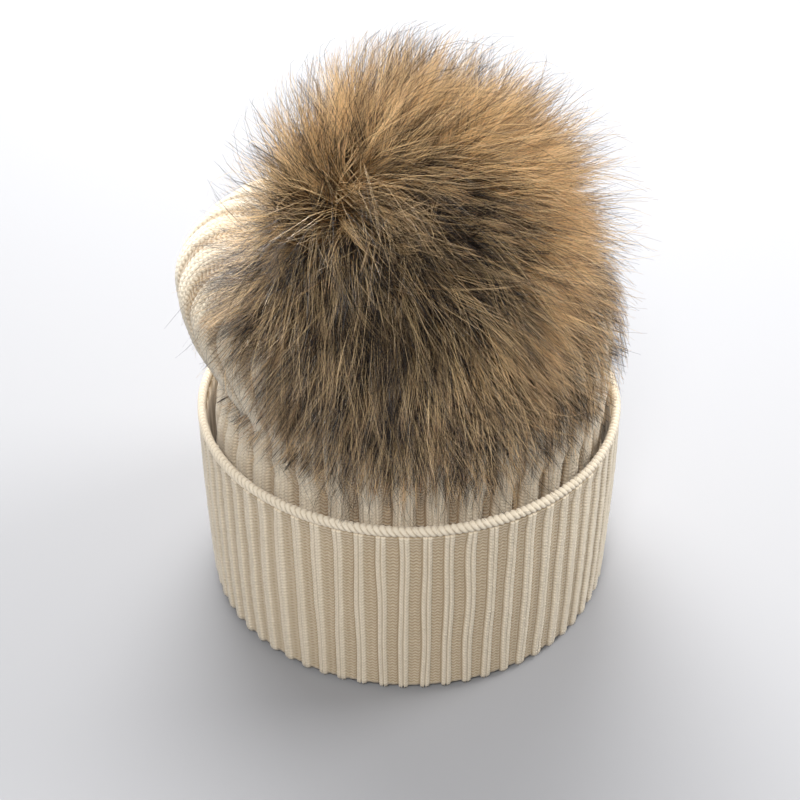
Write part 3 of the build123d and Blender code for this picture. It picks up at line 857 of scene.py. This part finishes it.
hand_over(welt, "hat", "cuff_edge_welt", cuff_mat)
hand_over(chain, "hat", "crown_linking_seam", cuff_mat)
hand_over(gather, "hat", "crown_gather_thread", cream_yarn)
hand_over(patch, "hat", "crown_patch", cream_felt)
hand_over(stud_threads, "hat", "stud_stitches", cream_thread)
hand_over(label, "hat", "care_label", satin)
hand_over(label_threads, "hat", "label_stitches", cream_thread)
hand_over(socket_threads, "pom", "socket_stitches", brown_thread)
hand_over(backing, "pom", "pom_backing_disc", brown_felt)
hand_over(pelt, "pom", "pom_pelt", pelt_cloth)
hand_over(stuffing, "pom", "pom_stuffing", filling)
hand_over(mouth_cord, "pom", "pom_gather_cord", brown_thread)

for name, finish in (("snap_stud", nickel), ("snap_socket", nickel), ("snap_spring_ring", spring_steel)):
    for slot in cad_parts[name].material_slots:
        slot.material = finish


# ======== fur ========

POM = SEAT + SNAP_AXIS * POM_MIDDLE
ROOT_R = PELT_OUT - 0.5 * MM       # distance of the hairs' roots from the pom's middle
MOUTH_CONE = math.radians(30)      # no hair grows round the pelt's gathered mouth

# Directions over the pom's rear face, for someone behind the hat and above it: right, up and out.
VIEW_RIGHT = np.array([1.0, 0.0, 0.0])
VIEW_UP = np.array([0.0, 0.545, 0.839])
VIEW_OUT = np.array([0.0, -0.839, 0.545])


def pom_side(right, up):
    """Direction from the pom's middle towards a place on its rear face, of unit radius."""
    out = math.sqrt(max(0.0, 1 - right * right - up * up))
    return right * VIEW_RIGHT + up * VIEW_UP + out * VIEW_OUT


# How the coat is combed: where a hair grows, and where its tip points, each as right, up and out of
# the pom's rear face. The coat parts at the upper left: above that it stands up, below it it falls.
COMBED = (
    ((-0.86, 0.45, 0.24), (-0.20, 0.10, 0.97)),                  # the parting
    ((-0.80, 0.60, -0.05), (0.05, 0.97, 0.15)), ((-0.55, 0.75, 0.36), (0.48, 0.84, 0.20)),
    ((-0.50, 0.85, -0.15), (-0.10, 1.00, 0.0)), ((-0.75, 0.45, -0.48), (-0.05, 1.00, -0.10)),
    ((0.10, 0.98, 0.10), (0.42, 0.90, 0.0)), ((-0.15, 0.85, 0.50), (0.55, 0.72, 0.30)),
    ((0.68, 0.72, 0.10), (0.84, 0.50, 0.05)), ((0.30, 0.66, 0.69), (0.88, 0.05, 0.45)),
    ((-0.20, 0.50, 0.84), (0.78, -0.30, 0.55)), ((0.10, 0.25, 0.96), (0.76, -0.50, 0.42)),
    ((0.60, 0.10, 0.79), (0.86, -0.44, 0.25)), ((1.00, 0.05, 0.10), (0.92, -0.38, 0.05)),
    ((0.72, -0.68, 0.10), (0.60, -0.80, 0.05)), ((0.40, -0.35, 0.85), (0.58, -0.78, 0.25)),
    ((0.0, -1.00, 0.10), (0.05, -1.00, 0.05)), ((0.0, -0.55, 0.84), (0.20, -0.94, 0.28)),
    ((-0.45, 0.20, 0.87), (0.42, -0.68, 0.60)), ((-0.70, -0.10, 0.70), (-0.06, -0.86, 0.50)),
    ((-0.45, -0.45, 0.77), (0.02, -0.95, 0.30)), ((-0.70, -0.70, 0.10), (-0.34, -0.93, 0.10)),
    ((-0.90, 0.20, 0.38), (-0.50, -0.68, 0.50)), ((-0.98, 0.05, -0.15), (-0.80, -0.58, 0.05)),
    ((0.0, 0.10, -1.00), (0.0, 0.20, -1.00)), ((-0.75, -0.20, -0.62), (-0.76, -0.40, -0.50)),
    ((0.75, 0.0, -0.66), (0.80, -0.30, -0.50)),
)
COMB_REACH = 0.08
COMB_ROOT, COMB_TIP = 0.04, 1.0    # share of the combed way, at the root and past the bend
BEND_START, BEND_END = 0.15, 0.70  # where that bend lies, as shares of a hair's length
# Darker (-) and lighter (+) patches of the coat: direction, reach in radians, strength. They are partly the
# coat's own uneven tone and partly painted light: lighter at the top and the right, where the lamps light the
# coat most, and darker in the middle and low down, where shade falls.
COAT_TONE_AND_PAINTED_LIGHT = (
    (pom_side(0.05, 0.26), 0.26, -0.34), (pom_side(0.42, 0.10), 0.30, -0.26),
    (pom_side(0.02, -0.38), 0.42, -0.44), (pom_side(-0.35, -0.10), 0.30, -0.12),
    (pom_side(-0.45, -0.50), 0.38, -0.30),
    (pom_side(0.10, 0.85), 0.55, 0.34), (pom_side(-0.50, 0.75), 0.40, 0.26),
    (pom_side(0.60, 0.70), 0.45, 0.32), (pom_side(0.90, 0.15), 0.55, 0.90),
    (pom_side(0.74, -0.50), 0.45, 0.54), (pom_side(-0.20, -0.85), 0.30, -0.12),
    (pom_side(-0.75, -0.05), 0.40, -0.06), (pom_side(-0.50, 0.30), 0.25, 0.10),
)
# Where the coat is shorter (-) or longer (+) than usual.
COAT_LENGTHS = (
    (pom_side(-0.92, 0.34), 0.30, -0.12), (pom_side(0.98, 0.10), 0.60, -0.38),
    (pom_side(-0.98, -0.15), 0.40, 0.08), (pom_side(-0.10, -0.95), 0.60, -0.10),
    (pom_side(-0.50, 0.86), 0.40, 0.16), (pom_side(0.25, 0.96), 0.40, -0.08),
    (pom_side(0.80, -0.58), 0.45, -0.32), (pom_side(-0.80, -0.57), 0.36, -0.22),
)


def combed(n):
    """Where the tips of hairs that grow along n are combed to."""
    view = np.array([VIEW_RIGHT, VIEW_UP, VIEW_OUT])
    places = unit(np.array([place for place, way in COMBED]) @ view)
    ways = unit(np.array([way for place, way in COMBED]) @ view)
    return unit(np.exp((n @ places.T - 1) / COMB_REACH) @ ways)


def patch_sum(n, patches):
    """Sum of the patches' strengths at each direction n, which fade with the angle from their middle."""
    total = np.zeros(len(n))
    for direction, reach, strength in patches:
        angle = np.arccos(np.clip(n @ unit(direction), -1, 1))
        total += strength * np.exp(-(angle / reach) ** 2)
    return total


def random_directions(rng, count):
    """Unit directions evenly over the pelt, outside the cone of its mouth."""
    n = unit(rng.normal(size=(int(count * 1.3), 3)))
    n = n[n @ -SNAP_AXIS < math.cos(MOUTH_CONE)]
    return n[:count]


def nearest(points, centres):
    """Index of the nearest centre direction to each direction, worked out in blocks."""
    found = [np.argmax(block @ centres.T, axis=1) for block in np.array_split(points, 40)]
    return np.concatenate(found)


DROOP = 0.10                       # pull of gravity on a hair's tip
BANDS = 1500                       # streaks of darker or lighter hair, several locks wide
BAND_CONTRAST = 0.22
LOCK_TONES = (-0.60, 0.0, 0.62)    # kinds of lock: dark, middling and light, against the coat's tone,
LOCK_SHARES = (0.54, 0.08, 0.38)   # and how many there are of each
# How much clumps, locks and single hairs differ, in the way they are combed, in length and in tone
CLUMP_WANDER, LOCK_COMB, HAIR_COMB = 0.20, 0.10, 0.04
CLUMP_LENGTH, LOCK_LENGTHS, HAIR_LENGTHS = 0.08, (0.72, 1.10), (0.85, 1.10)
HAIR_TONE = 0.08
HAIR_EASE = 78 * MM                # hairs are drawn in past this distance from the pom's middle,
HAIR_SPARE = 12 * MM               # and end less than this much further out
OVERHANG = -0.12                   # the crown overhangs where its normal's height is less than this
STUB = 0.25                        # length of each step past the end of such a hair, over the one before
CROWN_LOW, CROWN_HIGH = 50 * MM, 165 * MM   # heights between which a hair can meet the crown
CROWN_REACH = 30 * MM                       # a hair further than this from the crown is left alone
ROOT_GAP = 1.0 * MM                # least distance of hair from the crown's surface, at the root,
TIP_RISE = 6.0 * MM                # and the most that the tips stand further off


def grow(n, length, comb, droop, wander, points):
    """Centre lines of hairs from the pelt, each combed, drooping and straying by its own amount.

    n are the directions in which they leave the pelt, and wander a sideways vector each.
    """
    p = POM + n * ROOT_R
    way = combed(unit(n + 0.6 * wander))
    line = [p]
    step = length / (points - 1)
    for i in range(1, points):
        s = (i - 0.5) / (points - 1)
        bend = ease(np.clip((s - BEND_START) / (BEND_END - BEND_START), 0, 1))
        turned = (comb * (COMB_ROOT + (COMB_TIP - COMB_ROOT) * bend))[:, None]
        d = unit(n * (1 - turned) + way * turned)
        d = d + np.array([0, 0, -1.0]) * (droop * s)[:, None] + wander * (0.4 + s)
        p = p + unit(d) * step[:, None]
        line.append(p)
    return np.stack(line, 1)


def strands(seed, count, length, points, clumps, locks, gather, wander, comb_spread, base):
    """Centre lines of a coat of hair, and the tone of each hair.

    The hair is drawn together into clumps, and within them into fine locks of one tone. gather is how
    far a hair is drawn to its lock, wander how far a lock strays from its clump, comb_spread how unevenly
    the clumps are combed, and base the tone of the whole coat, from 0, dark, to 1, light.
    """
    rng = np.random.default_rng(seed)
    n = random_directions(rng, count)
    count = len(n)
    centre = random_directions(rng, clumps)
    clump_comb = 1 + rng.normal(0, comb_spread, clumps)
    clump_wander = rng.normal(0, CLUMP_WANDER, (clumps, 3))
    clump_scale = 1 + rng.normal(0, CLUMP_LENGTH, clumps)
    lock = random_directions(rng, locks)
    locks = len(lock)
    lock_clump = nearest(lock, centre)
    lock_comb = clump_comb[lock_clump] + rng.normal(0, LOCK_COMB, locks)
    lock_wander = clump_wander[lock_clump] + rng.normal(0, wander, (locks, 3))
    lock_scale = clump_scale[lock_clump] * rng.uniform(*LOCK_LENGTHS, locks)
    lock_kind = rng.choice(LOCK_TONES, locks, p=LOCK_SHARES)
    band = random_directions(rng, BANDS)
    lock_kind = lock_kind + rng.normal(0, BAND_CONTRAST, len(band))[nearest(lock, band)]
    of = nearest(n, lock)
    own = length * (1 + patch_sum(n, COAT_LENGTHS)) * lock_scale[of] * rng.uniform(*HAIR_LENGTHS, count)
    comb = lock_comb[of] + rng.normal(0, HAIR_COMB, count)
    side = lock_wander[of] + rng.normal(0, wander * 0.25, (count, 3))
    line = grow(n, own, comb, DROOP * rng.uniform(0.5, 1.5, count), side, points)
    s = np.linspace(0, 1, points)[None, :, None]
    for guides, member, comb_of, wander_of, scale_of, strength in (
            (centre, lock_clump[of], clump_comb, clump_wander, clump_scale, gather * 0.5),
            (lock, of, lock_comb, lock_wander, lock_scale, gather)):
        reach = length * (1 + patch_sum(guides, COAT_LENGTHS)) * scale_of
        guide = grow(guides, reach, comb_of, np.full(len(guides), DROOP), wander_of, points)
        pull = strength * rng.uniform(0.4, 1.0, count)[:, None, None] * s ** 1.2
        line = line * (1 - pull) + guide[member] * pull
    tip = unit(line[:, int(points * 0.7)] - POM)
    # Each hair's tone: the coat's base, its patches, which are partly painted light, its lock's tone and its
    # own.
    tone = base + patch_sum(tip, COAT_TONE_AND_PAINTED_LIGHT) + lock_kind[of] + rng.normal(0, HAIR_TONE, count)
    return within_reach(line), np.clip(tone, 0.01, 0.99)


def within_reach(line):
    """Draw in the ends of the longest hairs, so that none passes the coat's outer limit."""
    out = line - POM
    r = np.linalg.norm(out, axis=-1, keepdims=True)
    limit = np.where(r > HAIR_EASE, HAIR_EASE + HAIR_SPARE * np.tanh((r - HAIR_EASE) / HAIR_SPARE), r)
    return POM + out * limit / r


def keep_off(line, surface):
    """Lift hairs off the crown's surface: a little at the root, and by more towards the tip.

    A hair that would come out under the crown's overhang ends before it.
    """
    points = line.shape[1]
    flat = line.reshape(-1, 3)
    rise = TIP_RISE * np.random.default_rng(77).uniform(0, 1, len(line))
    gaps = (ROOT_GAP + rise[:, None] * np.linspace(0, 1, points) ** 1.5).ravel()
    lifted = ended = -1
    for i in np.where((flat[:, 2] > CROWN_LOW) & (flat[:, 2] < CROWN_HIGH))[0]:
        hair = i // points
        if hair != ended:
            place, normal, _, _ = surface.find_nearest(Vector(flat[i]), CROWN_REACH)
            if place is None:
                continue
            inside = (Vector(flat[i]) - place).dot(normal) < gaps[i]
            if normal.z < OVERHANG and (inside or hair == lifted) and i % points > 1:
                ended = hair
            elif inside:
                lifted = hair
                flat[i] = place + normal * gaps[i]
        if hair == ended:
            flat[i] = flat[i - 1] + (flat[i - 1] - flat[i - 2]) * STUB
    return flat.reshape(line.shape)


TONES = 48                         # number of tones, each of which has a column of the UV map


def hair_mesh(name, line, tone, width, taper):
    """Three-sided tapering hairs. The tone is u and the way from root to tip is v."""
    count, points = line.shape[:2]
    tangent = unit(np.gradient(line, axis=1))
    side = unit(np.cross(tangent, (0.3, 0.9, 0.3)))
    other = np.cross(tangent, side)
    s = np.linspace(0, 1, points)
    radius = 0.5 * width[:, None] * (1 - (1 - taper) * s**1.4)
    turn = np.arange(3)[:, None] * 2 * math.pi / 3
    ring = side[:, :, None] * np.cos(turn) + other[:, :, None] * np.sin(turn)
    verts = line[:, :, None] + radius[:, :, None, None] * ring
    index = np.arange(count * points * 3).reshape(count, points, 3)
    column = np.floor(tone * TONES)[:, None, None]
    left = (column + 0.15 + 0.7 * np.arange(3) / 3) / TONES
    uv = corner_uv(left, left + 0.7 / 3 / TONES, s[:-1, None], s[1:, None])
    return make_mesh(name, verts.reshape(-1, 3), quads_between(index[:, :-1], index[:, 1:]), uv=uv)


# Colours of light and of dark hair, from root to tip
LIGHT_HAIR = ((0.0, (0.14, 0.062, 0.020)), (0.32, (0.62, 0.33, 0.12)), (0.66, (1.0, 0.71, 0.37)),
              (0.90, (1.0, 0.71, 0.39)), (1.0, (0.55, 0.34, 0.19)))
DARK_HAIR = ((0.0, (0.008, 0.006, 0.005)), (0.35, (0.032, 0.020, 0.013)), (0.65, (0.036, 0.023, 0.016)),
             (0.90, (0.016, 0.011, 0.009)), (1.0, (0.008, 0.006, 0.005)))


def hair_material(name, rough, gloss):
    """Colour from root to tip, mixed from dark and light hair by the hair's tone."""
    mat, tree, bsdf = nodes_of(name)
    uv = node(tree, "ShaderNodeUVMap", uv_map="OFBake")
    parts = node(tree, "ShaderNodeSeparateXYZ")
    tree.links.new(uv.outputs["UV"], parts.inputs["Vector"])
    ramps = []
    for stops in (DARK_HAIR, LIGHT_HAIR):
        ramp = node(tree, "ShaderNodeValToRGB")
        ramp.color_ramp.interpolation = "EASE"
        while len(ramp.color_ramp.elements) < len(stops):
            ramp.color_ramp.elements.new(0.5)
        for element, (place, colour) in zip(ramp.color_ramp.elements, stops):
            element.position, element.color = place, (*colour, 1)
        tree.links.new(parts.outputs["Y"], ramp.inputs["Fac"])
        ramps.append(ramp.outputs["Color"])
    tree.links.new(mix_colour(tree, parts.outputs["X"], *ramps), bsdf.inputs["Base Color"])
    bsdf.inputs["Roughness"].default_value = rough
    bsdf.inputs["Specular IOR Level"].default_value = gloss
    return mat


def crown_surface():
    """The crown's outer face as a coarse tree, for keeping hair outside it."""
    angles = np.linspace(0, 2 * math.pi, 97)[:-1]
    rows = np.linspace(0, LAST_ROW + 0.9, 70)
    grid = crown_outer(rows[:, None], angles)
    index = np.arange(rows.size * angles.size).reshape(rows.size, angles.size)
    quads = quads_between(index[:-1], index[1:])
    return BVHTree.FromPolygons(grid.reshape(-1, 3).tolist(), quads.tolist())


# The coats, shortest first: CAD node, piece name, hairs in a piece, the hair's look and its growth
COATS = (
    # The underfur's low base tone is partly painted shade: it darkens the gaps between the clumps, deep in
    # the coat.
    ("pom_underfur", "underfur", 11000,
     {"width": 0.42 * MM, "taper": 0.50, "rough": 0.50, "gloss": 0.30},
     {"seed": 31, "count": 20000, "length": 38 * MM, "points": 4, "clumps": 400, "locks": 4000,
      "gather": 0.30, "wander": 0.16, "comb_spread": 0.16, "base": 0.32}),
    ("pom_guard_hair", "guard_hair", 6500,
     {"width": 0.17 * MM, "taper": 0.30, "rough": 0.27, "gloss": 0.55},
     {"seed": 32, "count": 45500, "length": 50 * MM, "points": 6, "clumps": 420, "locks": 6000,
      "gather": 0.46, "wander": 0.12, "comb_spread": 0.14, "base": 0.46}),
    ("pom_guard_hair", "surface_hair", 6500,
     {"width": 0.30 * MM, "taper": 0.20, "rough": 0.18, "gloss": 1.00},
     {"seed": 34, "count": 13000, "length": 54 * MM, "points": 6, "clumps": 420, "locks": 12000,
      "gather": 0.10, "wander": 0.14, "comb_spread": 0.12, "base": 0.60}),
    ("pom_guard_hair", "long_hair", 5500,
     {"width": 0.20 * MM, "taper": 0.30, "rough": 0.27, "gloss": 0.55},
     {"seed": 33, "count": 5000, "length": 70 * MM, "points": 7, "clumps": 900, "locks": 4900,
      "gather": 0.10, "wander": 0.16, "comb_spread": 0.20, "base": 0.16}),
)


def build_fur():
    """Grow each coat and keep it off the crown, in pieces of a limited number of hairs."""
    surface = crown_surface()
    amount = 1.0
    for owner, title, batch, look, growth in COATS:
        line, tone = strands(**{**growth, "count": int(growth["count"] * amount)})
        line = keep_off(line, surface)
        rng = np.random.default_rng(growth["seed"] + 50)
        widths = look["width"] * rng.uniform(0.75, 1.25, len(line)) / math.sqrt(amount)
        mat = hair_material(title, look["rough"], look["gloss"])
        for part, first in enumerate(range(0, len(line), batch)):
            pick = slice(first, first + batch)
            piece = hair_mesh(f"{title}_{part + 1}", line[pick], tone[pick], widths[pick], look["taper"])
            hand_over(piece, "pom", owner, mat)


build_fur()


# ======== camera, light and floor ========

CAMERA_ELEVATION = math.radians(33)
CAMERA_DISTANCE = 0.735
CAMERA_TARGET = Vector((-0.0037, 0.0010, 0.0756))
LAMPS = (
    # name, place, target, size, watts
    ("top_back", (-0.12, 0.70, 1.05), (0, 0.1, 0.10), 1.0, 18),
    ("right_back", (0.85, 0.25, 0.80), (0, 0, 0.15), 0.6, 9),
    ("far_back", (-0.1, 1.2, 1.0), (0, 0.45, 0), 1.0, 19),
    ("front_fill", (-0.15, -1.05, 1.1), (0, 0, 0.08), 0.35, 12),
)
FLOOR_HALF = 30.0


def build_camera(scene):
    """The camera, behind the hat and above it."""
    data = bpy.data.cameras.new("camera")
    data.lens, data.sensor_width = 80.0, 36.0
    data.clip_start = 0.05
    camera = bpy.data.objects.new("camera", data)
    scene.collection.objects.link(camera)
    back = Vector((0, -math.cos(CAMERA_ELEVATION), math.sin(CAMERA_ELEVATION)))
    camera.location = CAMERA_TARGET + back * CAMERA_DISTANCE
    camera.rotation_euler = (math.pi / 2 - CAMERA_ELEVATION, 0, 0)
    scene.camera = camera


def build_sky(scene):
    """A pale studio all round, brighter towards the hat's front."""
    world = bpy.data.worlds.new("studio")
    world.use_nodes = True
    tree = world.node_tree
    sky = tree.nodes["Background"]
    sky.inputs["Color"].default_value = (0.97, 0.98, 1.0, 1)
    coords = node(tree, "ShaderNodeTexCoord")
    parts = node(tree, "ShaderNodeSeparateXYZ")
    spread = node(tree, "ShaderNodeMapRange", {"From Min": -1.0, "To Min": 0.22, "To Max": 0.80})
    tree.links.new(coords.outputs["Generated"], parts.inputs["Vector"])
    tree.links.new(parts.outputs["Y"], spread.inputs["Value"])
    tree.links.new(spread.outputs["Result"], sky.inputs["Strength"])
    scene.world = world


def build_lamp(scene, name, place, target, size, watts):
    """A round area lamp that points at its target."""
    light = bpy.data.lights.new(name, "AREA")
    light.shape, light.size, light.energy = "DISK", size, watts
    lamp = bpy.data.objects.new(name, light)
    scene.collection.objects.link(lamp)
    lamp.location = place
    lamp.rotation_euler = (Vector(target) - Vector(place)).to_track_quat("-Z", "Y").to_euler()


def build_floor():
    """The table that the hat stands on: matt paper."""
    corners = [(x * FLOOR_HALF, y * FLOOR_HALF, 0) for x, y in ((-1, -1), (1, -1), (1, 1), (-1, 1))]
    floor = make_mesh("floor", corners, [(0, 1, 2, 3)])
    mat, tree, bsdf = nodes_of("floor_paper")
    bsdf.inputs["Base Color"].default_value = (0.32, 0.32, 0.33, 1)
    bsdf.inputs["Roughness"].default_value = 0.9
    floor.data.materials.append(mat)


scene = bpy.context.scene
scene.view_settings.view_transform = "Standard"
build_camera(scene)
build_sky(scene)
for lamp in LAMPS:
    build_lamp(scene, *lamp)
build_floor()
